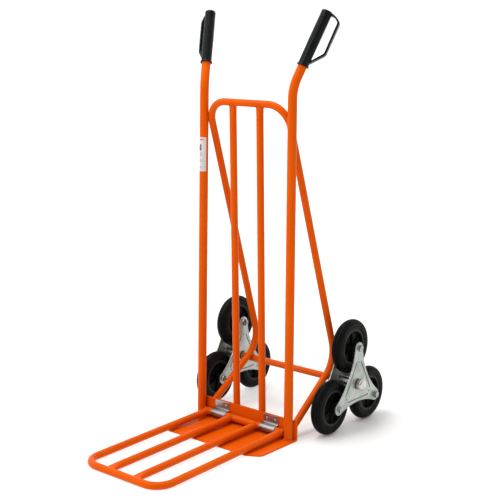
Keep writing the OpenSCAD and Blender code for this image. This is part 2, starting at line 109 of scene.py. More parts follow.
class Nodes:
    """A material with a Principled shader and short calls for its texture nodes."""

    def __init__(self, name, **values):
        self.material = bpy.data.materials.new(name)
        self.material.use_nodes = True
        self.tree = self.material.node_tree
        self.shader = self.tree.nodes["Principled BSDF"]
        for key, value in values.items():
            self.shader.inputs[key.replace("_", " ")].default_value = value
        self.coords = self.add("ShaderNodeTexCoord").outputs["Object"]

    def add(self, kind, **settings):
        node = self.tree.nodes.new(kind)
        for key, value in settings.items():
            setattr(node, key, value)
        return node

    def link(self, source, target):
        self.tree.links.new(source, target)

    def stretched(self, scale):
        mapping = self.add("ShaderNodeMapping")
        mapping.inputs["Scale"].default_value = scale
        self.link(self.coords, mapping.inputs["Vector"])
        return mapping.outputs["Vector"]

    def noise(self, scale, detail=2.0, roughness=0.5, stretch=None):
        node = self.add("ShaderNodeTexNoise")
        node.inputs["Scale"].default_value = scale
        node.inputs["Detail"].default_value = detail
        node.inputs["Roughness"].default_value = roughness
        self.link(self.stretched(stretch) if stretch else self.coords, node.inputs["Vector"])
        return node.outputs["Fac"]

    def cells(self, scale):
        node = self.add("ShaderNodeTexVoronoi", feature="F1")
        node.inputs["Scale"].default_value = scale
        self.link(self.coords, node.inputs["Vector"])
        return node.outputs["Distance"]

    def spread(self, value, low, high, to_low=0.0, to_high=1.0):
        node = self.add("ShaderNodeMapRange")
        self.link(value, node.inputs["Value"])
        set_range(node, low, high, to_low, to_high)
        return node.outputs["Result"]

    def cloud(self, scale, detail=2.0, roughness=0.5, to=(0.0, 1.0), stretch=None):
        """Noise spread over most of its range."""
        return self.spread(self.noise(scale, detail, roughness, stretch), 0.3, 0.7, *to)

    def math(self, operation, a, b):
        node = self.add("ShaderNodeMath", operation=operation)
        for socket, value in zip(node.inputs, (a, b)):
            if isinstance(value, (int, float)):
                socket.default_value = value
            else:
                self.link(value, socket)
        return node.outputs[0]

    def times(self, a, b):
        return self.math("MULTIPLY", a, b)

    def mix(self, factor, a, b):
        node = self.add("ShaderNodeMix", data_type="RGBA")
        self.link(factor, node.inputs["Factor"])
        for socket, value in ((node.inputs[6], a), (node.inputs[7], b)):
            if isinstance(value, tuple):
                socket.default_value = (*value, 1.0)
            else:
                self.link(value, socket)
        return node.outputs[2]

    def edges(self, low, high):
        return self.spread(self.add("ShaderNodeNewGeometry").outputs["Pointiness"], low, high)

    def colour(self, value):
        self.link(value, self.shader.inputs["Base Color"])

    def rough(self, value):
        self.link(value, self.shader.inputs["Roughness"])

    def bump(self, *layers):
        """Layers are (height, strength, distance in metres), finest first."""
        normal = None
        for height, strength, distance in layers:
            node = self.add("ShaderNodeBump")
            node.inputs["Strength"].default_value = strength
            node.inputs["Distance"].default_value = distance
            self.link(height, node.inputs["Height"])
            if normal is not None:
                self.link(normal, node.inputs["Normal"])
            normal = node.outputs["Normal"]
        self.link(normal, self.shader.inputs["Normal"])


def orange_paint(name, ior):
    """Satin powder coat, a little cloudy, with scuffs and worn edges."""
    m = Nodes(name, IOR=ior, Specular_IOR_Level=1.0, Specular_Tint=(1.0, 0.5, 0.22, 1.0))
    shade = m.cloud(7, 3)
    base = m.mix(shade, (0.62, 0.078, 0.0012), (0.68, 0.091, 0.0016))
    scuffs = m.times(m.spread(m.noise(95, 4, 0.65), 0.62, 0.7),
                     m.spread(m.noise(9, 2), 0.52, 0.62))
    worn = m.times(m.edges(0.56, 0.66), m.spread(m.noise(60, 3), 0.5, 0.62))
    base = m.mix(m.times(scuffs, 0.35), base, (0.56, 0.055, 0.002))
    m.colour(m.mix(m.times(worn, 0.55), base, (0.30, 0.12, 0.06)))
    rough = m.cloud(22, 3, to=(0.20, 0.28))
    m.rough(m.math("ADD", rough, m.times(scuffs, 0.15)))
    m.bump((m.noise(520, 2), 0.10, 0.0004), (m.noise(140, 2), 0.05, 0.0006))
    return m.material


def zinc_plate():
    m = Nodes("zinc_plated_sheet", Metallic=0.85, Specular_IOR_Level=0.5)
    cloud = m.spread(m.noise(26, 4, 0.6), 0.32, 0.68)
    base = m.mix(cloud, (0.31, 0.335, 0.31), (0.47, 0.495, 0.465))
    speck = m.spread(m.noise(330, 3), 0.66, 0.74)
    m.colour(m.mix(m.times(speck, 0.5), base, (0.24, 0.23, 0.21)))
    m.rough(m.cloud(48, 3, to=(0.30, 0.48)))
    m.bump((m.noise(900, 2), 0.10, 0.0002), (m.noise(60, 2), 0.06, 0.0008))
    return m.material


def bracket_steel():
    m = Nodes("rolled_zinc_bracket", Metallic=0.95)
    grain = m.cloud(90, 3, 0.6, stretch=(0.08, 1.0, 1.0))
    m.colour(m.mix(grain, (0.20, 0.20, 0.20), (0.42, 0.42, 0.42)))
    m.rough(m.cloud(70, 3, to=(0.17, 0.28), stretch=(0.1, 1.0, 1.0)))
    m.bump((m.noise(900, 2, stretch=(0.05, 1.0, 1.0)), 0.12, 0.0002))
    return m.material


def plain_finish(name, tone, rough, bumps, **values):
    """Tone and rough are (noise scale, detail, low, high). A bump without detail is a grain
    of cells, otherwise it is noise."""
    m = Nodes(name, **values)
    m.colour(m.mix(m.cloud(*tone[:2]), *tone[2:]))
    m.rough(m.cloud(*rough[:2], to=rough[2:]))
    m.bump(*((m.noise(scale, detail) if detail else m.cells(scale), strength, distance)
             for scale, detail, strength, distance in bumps))
    return m.material


def tyre_rubber():
    m = Nodes("solid_rubber", Specular_IOR_Level=0.07)
    base = m.mix(m.cloud(18, 4), (0.0016, 0.0017, 0.0016), (0.0036, 0.0036, 0.0033))
    # Painted highlight: sharp convex edges of the rubber are lighter as if they caught the light, partly
    # also rubbed rubber.
    base = m.mix(m.edges(0.58, 0.66), base, (0.022, 0.022, 0.020))
    dust = m.times(m.spread(m.noise(150, 4, 0.7), 0.5, 0.8), m.spread(m.noise(12, 2), 0.4, 0.7))
    m.colour(m.mix(m.times(dust, 0.35), base, (0.020, 0.018, 0.015)))
    m.rough(m.cloud(40, 3, to=(0.36, 0.52)))
    m.bump((m.noise(1300, 3), 0.22, 0.0003), (m.noise(220, 2), 0.08, 0.0005))
    return m.material


def rim_plastic():
    m = Nodes("black_rim_plastic", Specular_IOR_Level=0.08)
    base = m.mix(m.cloud(30, 3), (0.0034, 0.0034, 0.0030), (0.0058, 0.0058, 0.0052))
    # Painted highlight: the lip's outer face, marked by the band attribute, is painted lighter as if it
    # caught the light.
    ring = m.times(m.add("ShaderNodeAttribute", attribute_name="band").outputs["Fac"],
                  m.spread(m.noise(35, 3), 0.2, 0.7, 0.45, 1.0))
    m.colour(m.mix(ring, base, (0.042, 0.042, 0.036)))
    m.rough(m.cloud(80, 3, to=(0.36, 0.52)))
    m.bump((m.cells(1500), 0.14, 0.0002))
    return m.material


def label_film():
    """White printed film: a red strip, a dark pictogram block and grey bars in place of any wording."""
    m = Nodes("printed_film", Specular_IOR_Level=0.5, Coat_Weight=0.3, Coat_Roughness=0.1)
    split = m.add("ShaderNodeSeparateXYZ")
    m.link(m.coords, split.inputs[0])
    x, z = split.outputs["X"], split.outputs["Z"]

    def band(value, low, high):
        return m.times(m.math("GREATER_THAN", value, low * MM),
                       m.math("LESS_THAN", value, high * MM))

    axis_x = -(UPRIGHT_X + (UPRIGHT_TOP_X - UPRIGHT_X) * LABEL_RISE)
    base = m.mix(m.cloud(40, 3), (0.50, 0.49, 0.47), (0.58, 0.57, 0.56))
    strip = m.times(band(z, *LABEL_STRIP_Z), band(x, axis_x - 9, axis_x + 7))
    base = m.mix(strip, base, (0.55, 0.05, 0.03))
    block = m.times(band(z, *LABEL_BLOCK_Z), band(x, axis_x - 10, axis_x + 2))
    speckle = m.spread(m.noise(300, 2), 0.34, 0.40)
    base = m.mix(m.times(block, speckle), base, (0.02, 0.02, 0.02))
    for low in LABEL_LINES_Z:
        line = m.times(band(z, low, low + LABEL_LINE_H), band(x, axis_x - 8, axis_x + 6 - low % 4))
        base = m.mix(m.times(line, speckle), base, (0.16, 0.16, 0.17))
    m.colour(base)
    m.rough(m.cloud(90, 2, to=(0.25, 0.4)))
    m.bump((m.noise(300, 2), 0.05, 0.0002))
    return m.material


def painted_glow_floor():
    """Floor with painted light: away from the wheels a grey surface glows white, so no shadow shows
    there; near the wheels the glow fades and the paler surface shows shade.
    """
    m = Nodes("painted_glow_floor", Specular_IOR_Level=0.1, Emission_Color=(1.0, 1.0, 1.0, 1.0))
    away = m.add("ShaderNodeVectorMath", operation="DISTANCE")
    m.link(m.coords, away.inputs[0])
    away.inputs[1].default_value = GLOW_FADES_AT
    # Painted light: near is 1 close to the wheels, where the glow fades; far from them the floor glows
    # white and also lights the object from below.
    near = m.spread(away.outputs["Value"], *GLOW_FADE, 1.0, 0.0)
    tone = m.cloud(1.5, 2)
    m.colour(m.mix(near, m.mix(tone, (0.34, 0.338, 0.332), (0.36, 0.357, 0.351)),
                   m.mix(tone, (0.79, 0.78, 0.765), (0.81, 0.80, 0.785))))
    m.link(m.spread(near, 0, 1, GLOW_FAR, GLOW_NEAR), m.shader.inputs["Emission Strength"])
    m.rough(m.cloud(4, 2, to=(0.38, 0.46)))
    return m.material


PAINT = orange_paint("orange_powder_coat", 1.13)
SHEET_PAINT = orange_paint("orange_sheet_coat", 1.07)
ZINC, BRACKET, RUBBER = zinc_plate(), bracket_steel(), tyre_rubber()
RIM, FILM = rim_plastic(), label_film()
STEEL = plain_finish(
    "bright_steel", (120, 3, (0.26, 0.27, 0.27), (0.46, 0.47, 0.47)), (180, 3, 0.18, 0.34),
    [(1500, 2, 0.10, 0.0001)], Metallic=1.0)
CHROME = plain_finish(
    "polished_cap", (60, 2, (0.46, 0.42, 0.395), (0.60, 0.555, 0.525)), (240, 3, 0.07, 0.15),
    [(420, 2, 0.04, 0.0002)], Metallic=1.0)
GRIP = plain_finish(
    "black_grip_plastic", (24, 3, (0.0014, 0.0022, 0.0022), (0.0034, 0.0044, 0.0042)),
    (60, 3, 0.22, 0.34), [(1400, None, 0.16, 0.0002), (70, 2, 0.06, 0.0006)],
    Specular_IOR_Level=0.15)
NYLON = plain_finish(
    "black_nylon", (50, 3, (0.012, 0.012, 0.012), (0.022, 0.022, 0.022)), (120, 2, 0.38, 0.5),
    [(900, 2, 0.1, 0.0002)], Specular_IOR_Level=0.4)
BY_SLOT = {
    "orange_paint": PAINT, "zinc_plate": ZINC, "bright_steel": STEEL, "chrome_cap": CHROME,
    "grip_plastic": GRIP, "rim_plastic": RIM, "tyre_rubber": RUBBER, "nylon": NYLON, "label_film": FILM,
}


# ---- Geometry helpers ----
def mirrored(point, sign):
    return Vector((point[0] * sign, point[1], point[2]))


def smooth(t):
    t = max(0.0, min(1.0, t))
    return t * t * (3 - 2 * t)


def any_normal(direction):
    other = Vector((1, 0, 0)) if abs(direction.x) < 0.9 else Vector((0, 1, 0))
    return direction.cross(other).normalized()


def placed(origin, z, x=None):
    """Matrix that puts local Z along z, and local X as near to x as it can, at origin."""
    z = Vector(z).normalized()
    x = Vector(x) if x is not None else any_normal(z)
    x = (x - z * z.dot(x)).normalized()
    y = z.cross(x)
    m = Matrix((x, y, z)).transposed().to_4x4()
    m.translation = Vector(origin)
    return m


def along_x(x, y, z, sign):
    """Matrix that puts local Z along world X times sign, with local X pointing up."""
    return placed((x, y, z), (sign, 0, 0), (0, 0, 1))


def bend(a, b, c, radius, step=3):
    u, v = (b - a).normalized(), (c - b).normalized()
    turn = u.angle(v)
    inward = (v - u * u.dot(v)).normalized()
    start = b - u * (radius * math.tan(turn / 2))
    n = max(2, math.ceil(math.degrees(turn) / step))
    return [start + inward * radius * (1 - math.cos(turn * i / n)) + u * radius * math.sin(turn * i / n)
            for i in range(n + 1)]


def route(points, radii):
    points = [Vector(p) for p in points]
    line = [points[0]]
    for i, radius in enumerate(radii):
        line += bend(points[i], points[i + 1], points[i + 2], radius)
    return line + [points[-1]]


def finely(a, b, spacing):
    """Points from a to b, no further apart than spacing."""
    a, b = Vector(a), Vector(b)
    n = max(1, math.ceil((b - a).length / spacing))
    return [a.lerp(b, i / n) for i in range(n + 1)]


def rounded(points, radii, steps=6):
    """Closed 2-D outline with its corners rounded."""
    out = []
    for i, radius in enumerate(radii):
        a, b, c = (Vector((*points[(i + k) % len(points)], 0)) for k in (-1, 0, 1))
        out += [p.to_2d() for p in bend(a, b, c, radius, 90 / steps)]
    return out


def polar(radius, degrees):
    return Vector((radius * math.cos(math.radians(degrees)), radius * math.sin(math.radians(degrees))))


def shade(mesh, material, sharp):
    mesh.polygons.foreach_set("use_smooth", [True] * len(mesh.polygons))
    mesh.set_sharp_from_angle(angle=math.radians(sharp))
    mesh.materials.clear()
    mesh.materials.append(material)


class Shape:
    """Closed shells gathered in millimetres and built as one piece."""

    def __init__(self):
        self.verts, self.faces = [], []

    def add(self, verts, faces, matrix=None):
        n = len(self.verts)
        verts = [Vector(v) for v in verts]
        self.verts += [matrix @ v for v in verts] if matrix is not None else verts
        self.faces += [tuple(i + n for i in f) for f in faces]
        return self

    def rings(self, rings, loop=False, caps=True, matrix=None):
        """Skin over rings of points that all have the same count."""
        m = len(rings[0])
        verts = [p for ring in rings for p in ring]
        faces = []
        for i in range(len(rings) if loop else len(rings) - 1):
            a, b = i * m, (i + 1) % len(rings) * m
            faces += [(a + k, a + (k + 1) % m, b + (k + 1) % m, b + k) for k in range(m)]
        if caps and not loop:
            last = (len(rings) - 1) * m
            faces += [tuple(reversed(range(m))), tuple(range(last, last + m))]
        return self.add(verts, faces, matrix)

    def tube(self, line, radius, sides=48, hollow=(False, False), planes=(None, None), form=None,
             wall=WALL):
        """Round tube along a line of points. form(distance to the end, offset, tangent) may
        reshape a section, and planes are (point, normal) cuts on which an end lies. A hollow
        end shows its wall and a short recess."""
        line = [Vector(p) for p in line]
        last = len(line) - 1
        lengths = [0.0]
        for i in range(last):
            lengths.append(lengths[-1] + (line[i + 1] - line[i]).length)
        rings, normal = [], None
        tangents = []
        for i, p in enumerate(line):
            a = (p - line[i - 1]).normalized() if i else None
            b = (line[i + 1] - p).normalized() if i < last else None
            t = a if b is None else b if a is None else (a + b).normalized()
            normal = any_normal(t) if normal is None else (normal - t * t.dot(normal)).normalized()
            side = t.cross(normal)
            tangents.append(t)
            ring = []
            for k in range(sides):
                angle = math.tau * k / sides
                offset = normal * (radius * math.cos(angle)) + side * (radius * math.sin(angle))
                if form is not None:
                    offset = form(lengths[last] - lengths[i], offset, t)
                ring.append(p + offset)
            rings.append(ring)
        for end, plane in enumerate(planes):
            if plane is not None:
                i = (0, last)[end]
                q, n = Vector(plane[0]), Vector(plane[1])
                rings[i] = [p + tangents[i] * ((q - p).dot(n) / tangents[i].dot(n))
                            for p in rings[i]]
        for end in (0, 1):
            if hollow[end]:
                i, inward = (0, last)[end], (1, -1)[end]
                share = (radius - wall) / radius
                lip = [line[i] + (p - line[i]) * share for p in rings[i if end == 0 else -1]]
                deep = [p + tangents[i] * inward * OPEN_END_DEPTH for p in lip]
                rings = [deep, lip] + rings if end == 0 else rings + [lip, deep]
        return self.rings(rings)

    def lathe(self, profile, matrix, sides=64, loop=False, wobble=None):
        """Turns (radius, height) points round local Z. wobble(k, radius, height) may change
        the radius of a point."""
        rings = []
        for r, h in profile:
            ring = []
            for k in range(sides):
                rr = wobble(k, r, h) if wobble else r
                a = math.tau * k / sides
                ring.append(Vector((rr * math.cos(a), rr * math.sin(a), h)))
            rings.append(ring)
        return self.rings(rings, loop=loop, matrix=matrix)

    def bead(self, points, radius=2.1, closed=True, seed=0):
        """Weld bead: a rippled cord through the points, which lie close together."""
        pts = [Vector(p) for p in points]
        n = len(pts)
        rings = []
        for i, p in enumerate(pts):
            before = pts[i - 1] if i or closed else p
            after = pts[(i + 1) % n] if i < n - 1 or closed else p
            t = (after - before).normalized()
            normal = any_normal(t)
            side = t.cross(normal)
            ripple = 1 + 0.14 * math.sin(i * 1.9 + seed) + 0.16 * noise.noise(p * 0.35)
            taper = 1.0 if closed else math.sqrt(max(0.08, math.sin(math.pi * i / (n - 1))))
            angles = [math.tau * k / 10 for k in range(10)]
            rings.append([p + (normal * math.cos(a) + side * math.sin(a)) * radius * ripple * taper
                          for a in angles])
        return self.rings(rings, loop=closed)

    def as_object(self, name, merged):
        mesh = bpy.data.meshes.new(name)
        mesh.from_pydata([v * MM for v in self.verts], [], self.faces)
        bm = bmesh.new()
        bm.from_mesh(mesh)
        if merged:
            bmesh.ops.remove_doubles(bm, verts=bm.verts, dist=1e-7)
        bmesh.ops.recalc_face_normals(bm, faces=bm.faces)
        bm.to_mesh(mesh)
        bm.free()
        obj = bpy.data.objects.new(name, mesh)
        bpy.context.scene.collection.objects.link(obj)
        return obj

    def build(self, name, material, body, slot, node, sharp=35, bevel=0.0, cuts=(), band=None):
        """Makes the piece that stands for a CAD node. bevel is an edge width, cuts are shapes
        taken away, and band(point) gives the mesh attribute on which the rim's material paints a
        highlight."""
        obj = self.as_object(name, merged=True)
        mesh = obj.data
        if bevel:
            mod = obj.modifiers.new("edge", "BEVEL")
            mod.width, mod.segments = bevel * MM, 3
            mod.limit_method, mod.angle_limit = "ANGLE", math.radians(40)
        helpers = [cutter.as_object("helper", merged=False) for cutter in cuts]
        for helper in helpers:
            mod = obj.modifiers.new("cut", "BOOLEAN")
            mod.operation, mod.object, mod.solver = "DIFFERENCE", helper, "EXACT"
        if bevel or cuts:
            evaluated = obj.evaluated_get(bpy.context.evaluated_depsgraph_get())
            final = bpy.data.meshes.new_from_object(evaluated)
            obj.modifiers.clear()
            obj.data = final
            bpy.data.meshes.remove(mesh)
            final.name = name
        for helper in helpers:
            bpy.data.objects.remove(helper)
        if band:
            marks = obj.data.attributes.new("band", "FLOAT", "POINT")
            marks.data.foreach_set("value", [band(v.co / MM) for v in obj.data.vertices])
        shade(obj.data, material, sharp)
        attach(obj, body)
        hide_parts(node)

    def paint(self, name, node, body="frame"):
        self.build(name, PAINT, body, "orange_paint", node)


def prism(shape, outline, low, high, matrix):
    """Solid between heights low and high over a 2-D outline."""
    return shape.rings([[Vector((p[0], p[1], h)) for p in outline] for h in (low, high)], matrix=matrix)


def capsule_outline(length, width, steps=8):
    half, r = (length - width) / 2, width / 2
    return [Vector((s * half, 0)) + polar(r, 90 - 180 * (i / steps) + (0 if s > 0 else 180))
            for s in (1, -1) for i in range(steps + 1)]


def saddle_ring(centre, axis, radius, cross_axis, cross_radius):
    """Closed line where a tube of the given radius meets a crossing tube whose axis passes
    through centre."""
    axis, cross_axis = Vector(axis).normalized(), Vector(cross_axis).normalized()
    across = axis.cross(cross_axis).normalized()
    along = across.cross(axis).normalized()
    n, lift = 44, 0.3
    out = []
    for i in range(n):
        a = math.tau * i / n
        offset = along * (radius * math.cos(a)) + across * (radius * math.sin(a))
        h = offset.dot(cross_axis.cross(axis).normalized())
        rise = math.sqrt(max(0.0, cross_radius ** 2 - h * h))
        out.append(Vector(centre) + offset * (1 + lift / radius) + axis * rise)
    return out


# ---- Uprights and back frame ----
def upright_foot(sign):
    return Vector((sign * UPRIGHT_X, 0, 0))


def upright_top(sign):
    return Vector((sign * UPRIGHT_TOP_X, -UPRIGHT_LEAN, BEND_Z))


def upright_at(sign, z):
    return upright_foot(sign).lerp(upright_top(sign), z / BEND_Z)


def handle_vector(sign):
    return Vector((sign * HANDLE_OUT, HANDLE_BACK, HANDLE_TOP_Z - BEND_Z))


def stay_points(sign):
    top = Vector((sign * LOOP_HALF_W, -LOOP_FRONT, LOOP_TOP_Z))
    knee = mirrored(STAY_BEND, sign)
    foot = Vector((sign * STAY_FOOT_X, FLANGE_BACK_Y, STAY_FOOT_Z))
    return top, knee, foot


def make_upright(side):
    sign = SIGN[side]
    foot, top = upright_at(sign, PLATE_T - 0.4), upright_top(sign)
    reach = handle_vector(sign)
    tip = top + reach.normalized() * (reach.length - 5)
    shape = Shape().tube(route([foot, top, tip], [BEND_R]), UPRIGHT_R, sides=56)
    ring = [upright_at(sign, PLATE_T + 0.6) + Vector((*polar(UPRIGHT_R + 0.7, a), 0))
            for a in range(0, 360, 6)]
    ring = [p for p in ring if p.y < FLANGE_Y - 1.2]
    start = max(range(len(ring)), key=lambda i: (ring[i] - ring[i - 1]).length)
    shape.bead(ring[start:] + ring[:start], 1.9, closed=False)
    for s in (-1, 1):
        x = sign * UPRIGHT_X + s * 5.2
        shape.bead([Vector((x, FLANGE_Y - 0.6, z)) for z in range(12, 56, 2)], 1.7, closed=False, seed=s)
    shape.paint(f"upright_{side}_tube", f"upright_{side}")


def make_back_loop():
    tops, knees, feet = zip(*(stay_points(s) for s in (-1, 1)))
    ends = [feet[i] + (feet[i] - knees[i]).normalized() * 20 for i in (0, 1)]
    line = route([ends[0], knees[0], tops[0], tops[1], knees[1], ends[1]],
                 [STAY_BEND_R, LOOP_CORNER_R, LOOP_CORNER_R, STAY_BEND_R])
    inside = ((0, FLANGE_BACK_Y - 2, 0), (0, 1, 0))
    shape = Shape().tube(line, LOOP_R, planes=(inside, inside))
    for i, sign in enumerate((-1, 1)):
        axis = (knees[i] - feet[i]).normalized()
        ring = []
        for a in range(0, 360, 8):
            off = any_normal(axis) * (LOOP_R * math.cos(math.radians(a)))
            off += axis.cross(any_normal(axis)) * (LOOP_R * math.sin(math.radians(a)))
            p = feet[i] + off * 1.05
            ring.append(p + axis * ((FLANGE_BACK_Y + 0.5 - p.y) / axis.y))
        shape.bead(ring, 1.5, seed=i)
        contact = []
        for z in range(892, 917, 2):
            u = upright_at(sign, z)
            v = tops[i].lerp(knees[i], (LOOP_TOP_Z - z) / (LOOP_TOP_Z - knees[i].z))
            contact.append(u.lerp(v, UPRIGHT_R / (UPRIGHT_R + LOOP_R)))
        for shift in (Vector((0, -5.5, 0)), Vector((0, 5.5, 0))):
            shape.bead([p + shift for p in contact], 1.7, closed=False, seed=i)
        knee_run = (feet[i] - knees[i]).normalized()
        near = knees[i] + knee_run * ((Vector((knees[i].x, AXLE_Y, AXLE_Z)) - knees[i]).dot(knee_run))
        touch = Vector((near.x, AXLE_Y, AXLE_Z)).lerp(near, AXLE_TUBE_R / (AXLE_TUBE_R + LOOP_R))
        for s in (-1, 1):
            line = [touch + Vector((t, 0, 0)) + knee_run * (s * (3.2 + abs(t) * 0.22))
                    for t in range(-8, 9)]
            shape.bead(line, 1.8, closed=False, seed=s)
    shape.paint("back_loop_tube", "back_loop")


def pressed(reach, width_gain, thinning, wide, squareness=0.2):
    """Section reshaper: the tube is pressed flat towards its end over the given reach."""
    wide = Vector(wide)

    def form(to_end, offset, tangent):
        f = smooth(1 - to_end / reach)
        if f <= 0:
            return offset
        w = (wide - tangent * tangent.dot(wide)).normalized()
        t = tangent.cross(w)
        radius = offset.length
        a, b = offset.dot(w) / radius, offset.dot(t) / radius
        k = 1 - squareness * f
        a, b = math.copysign(abs(a) ** k, a), math.copysign(abs(b) ** k, b)
        return w * a * (radius + width_gain * f) + t * b * (radius - thinning * f)

    return form


def make_back_bar(side):
    sign = SIGN[side]
    foot = Vector((sign * BAR_X, FLANGE_BACK_Y + LOOP_R + 0.05, BAR_FOOT_Z))
    head = Vector((sign * BAR_X, -LOOP_FRONT, LOOP_TOP_Z))
    axis = (head - foot).normalized()
    near = head - axis * 46
    line = [foot, foot + axis * 60, near] + finely(near, head - axis * 3, 2.5)[1:]
    form = pressed(38, 1.6, 3.4, (1, 0, 0))
    shape = Shape().tube(line, LOOP_R, hollow=(True, False), form=form)
    shape.bead(saddle_ring(head, -axis, LOOP_R + 0.6, (1, 0, 0), LOOP_R), 1.7, seed=sign)
    for s in (-1, 1):
        low = Vector((sign * BAR_X + s * 6.5, FLANGE_BACK_Y + 0.9, BAR_FOOT_Z + 4))
        shape.bead([low + Vector((0, 0, z)) for z in range(0, 34, 2)], 1.8, closed=False, seed=s)
    shape.paint(f"back_bar_{side}_tube", f"back_bar_{side}")


def make_axle_tube():
    line = [Vector((s * AXLE_TUBE_HALF, AXLE_Y, AXLE_Z)) for s in (-1, 1)]
    shape = Shape().tube(line, AXLE_TUBE_R, hollow=(True, True), wall=AXLE_TUBE_R - AXLE_R)
    shape.paint("axle_cross_tube", "axle_tube")


# ---- Folded sheet metal ----
def folded_sheet(outline, path, thickness, cross):
    """Maps a flat outline (across, along) on to a folded middle line, and thickens it. path(s)
    gives (y, z, normal y, normal z) at length s, and cross is the list of lengths to cut at."""
    bm = bmesh.new()
    bm.faces.new([bm.verts.new((p[0], p[1], 0)) for p in outline])
    for s in cross:
        bmesh.ops.bisect_plane(bm, geom=bm.verts[:] + bm.edges[:] + bm.faces[:], plane_co=(0, s, 0),
                               plane_no=(0, 1, 0))
    bm.verts.ensure_lookup_table()
    bm.verts.index_update()
    faces = [tuple(v.index for v in f.verts) for f in bm.faces]
    flat = [v.co.copy() for v in bm.verts]
    borders = [tuple(v.index for v in e.verts) for e in bm.edges if e.is_boundary]
    bm.free()
    verts = []
    for half in (thickness / 2, -thickness / 2):
        for p in flat:
            y, z, ny, nz = path(p.y)
            verts.append(Vector((p.x, y + ny * half, z + nz * half)))
    n = len(flat)
    solid = list(faces) + [tuple(i + n for i in reversed(f)) for f in faces]
    solid += [(a, b, b + n, a + n) for a, b in borders]
    return Shape().add(verts, solid)


def fold_path(start, legs):
    """Path made of straight legs ("line", length) and arcs ("arc", radius, degrees), where a
    positive arc turns towards the normal. Returns it, its cut lengths and its whole length."""
    pieces, y, z, heading, s = [], start[0], start[1], start[2], 0.0
    for leg in legs:
        length = leg[1] if leg[0] == "line" else math.radians(abs(leg[2])) * leg[1]
        pieces.append((s, length, y, z, heading, leg))
        if leg[0] == "line":
            y, z = y + math.cos(heading) * length, z + math.sin(heading) * length
        else:
            turn = math.radians(leg[2])
            side = math.copysign(1, turn)
            cy, cz = y - math.sin(heading) * leg[1] * side, z + math.cos(heading) * leg[1] * side
            heading += turn
            y, z = cy + math.sin(heading) * leg[1] * side, cz - math.cos(heading) * leg[1] * side
        s += length

    def path(at):
        for first, _, py, pz, h, leg in reversed(pieces):
            if at >= first - 1e-6 or first == 0:
                t = at - first
                if leg[0] == "line":
                    return py + math.cos(h) * t, pz + math.sin(h) * t, -math.sin(h), math.cos(h)
                side = math.copysign(1, leg[2])
                cy, cz = py - math.sin(h) * leg[1] * side, pz + math.cos(h) * leg[1] * side
                h2 = h + side * t / leg[1]
                return (cy + math.sin(h2) * leg[1] * side, cz - math.cos(h2) * leg[1] * side,
                        -math.sin(h2), math.cos(h2))

    cuts = []
    for first, length, *_, leg in pieces:
        n = 1 if leg[0] == "line" else max(3, math.ceil(abs(leg[2]) / 9))
        cuts += [first + length * i / n for i in range(n + 1)]
    return path, sorted({round(c, 4) for c in cuts if 0 < c < s - 1e-3}), s


def make_base_plate():
    mid_r = PLATE_BEND_R - PLATE_T / 2
    flat = TOE_DEPTH + FLANGE_BACK_Y - PLATE_BEND_R
    path, cuts, total = fold_path((-TOE_DEPTH, PLATE_T / 2, 0.0), [
        ("line", flat), ("arc", mid_r, 90), ("line", FLANGE_H - PLATE_BEND_R)])
    w, t = PLATE_HALF_W, total
    outline = rounded([(-w, 24), (-w + 40, 0), (w - 40, 0), (w, 24), (w, t), (-w, t)],
                      [22, 22, 22, 22, 8, 8])
    cuts = sorted(set(cuts) | {20, 60, 100, 140})
    shape = folded_sheet(outline, path, PLATE_T, cuts)
    shape.build("toe_plate_sheet", SHEET_PAINT, "frame", "orange_paint", "base_plate", bevel=0.9)


def make_hinge_bracket(side):
    sign = SIGN[side]
    mid = EXT_R + 0.05 + BRACKET_T / 2
    rise = HINGE_Z + mid
    path, cuts, total = fold_path((FLANGE_Y - BRACKET_T / 2, BRACKET_TOP_Z, math.radians(-90)), [
        ("line", BRACKET_TOP_Z - rise - 3.5), ("arc", 3.5, -90), ("line", FLANGE_Y - BRACKET_T / 2 - 3.5),
        ("arc", mid, 108), ("line", 3.0)])
    outline = rounded([(-BRACKET_LEN / 2, 0), (BRACKET_LEN / 2, 0), (BRACKET_LEN / 2, total),
                       (-BRACKET_LEN / 2, total)], [4, 4, 2.5, 2.5])
    shape = folded_sheet(outline, path, BRACKET_T, cuts)
    shape.verts = [v + Vector((sign * BRACKET_X, 0, 0)) for v in shape.verts]
    shape.build(f"hinge_bracket_{side}_sheet", BRACKET, "frame", "zinc_plate",
                f"hinge_bracket_{side}", bevel=0.35)


def make_rivets():
    shape = Shape()
    dome = [(0.01, 1.7), (1.5, 1.55), (2.7, 1.05), (3.4, 0.35), (3.6, 0.0), (3.6, -0.4), (0.01, -0.4)]
    for s in (-1, 1):
        for step in (-1, 1):
            x = s * BRACKET_X + step * RIVET_STEP
            shape.lathe(dome, placed((x, FLANGE_Y - BRACKET_T, RIVET_Z), (0, -1, 0)), sides=28)
            shape.lathe(dome, placed((x, FLANGE_BACK_Y, RIVET_Z), (0, 1, 0)), sides=28)
    shape.build("hinge_rivets", STEEL, "frame", "zinc_plate", "bracket_rivets")


# ---- Folding extension ----
def ext_point(x, y):
    return Vector((x, y, HINGE_Z + (HINGE_Z - EXT_R) * y / EXT_REACH))


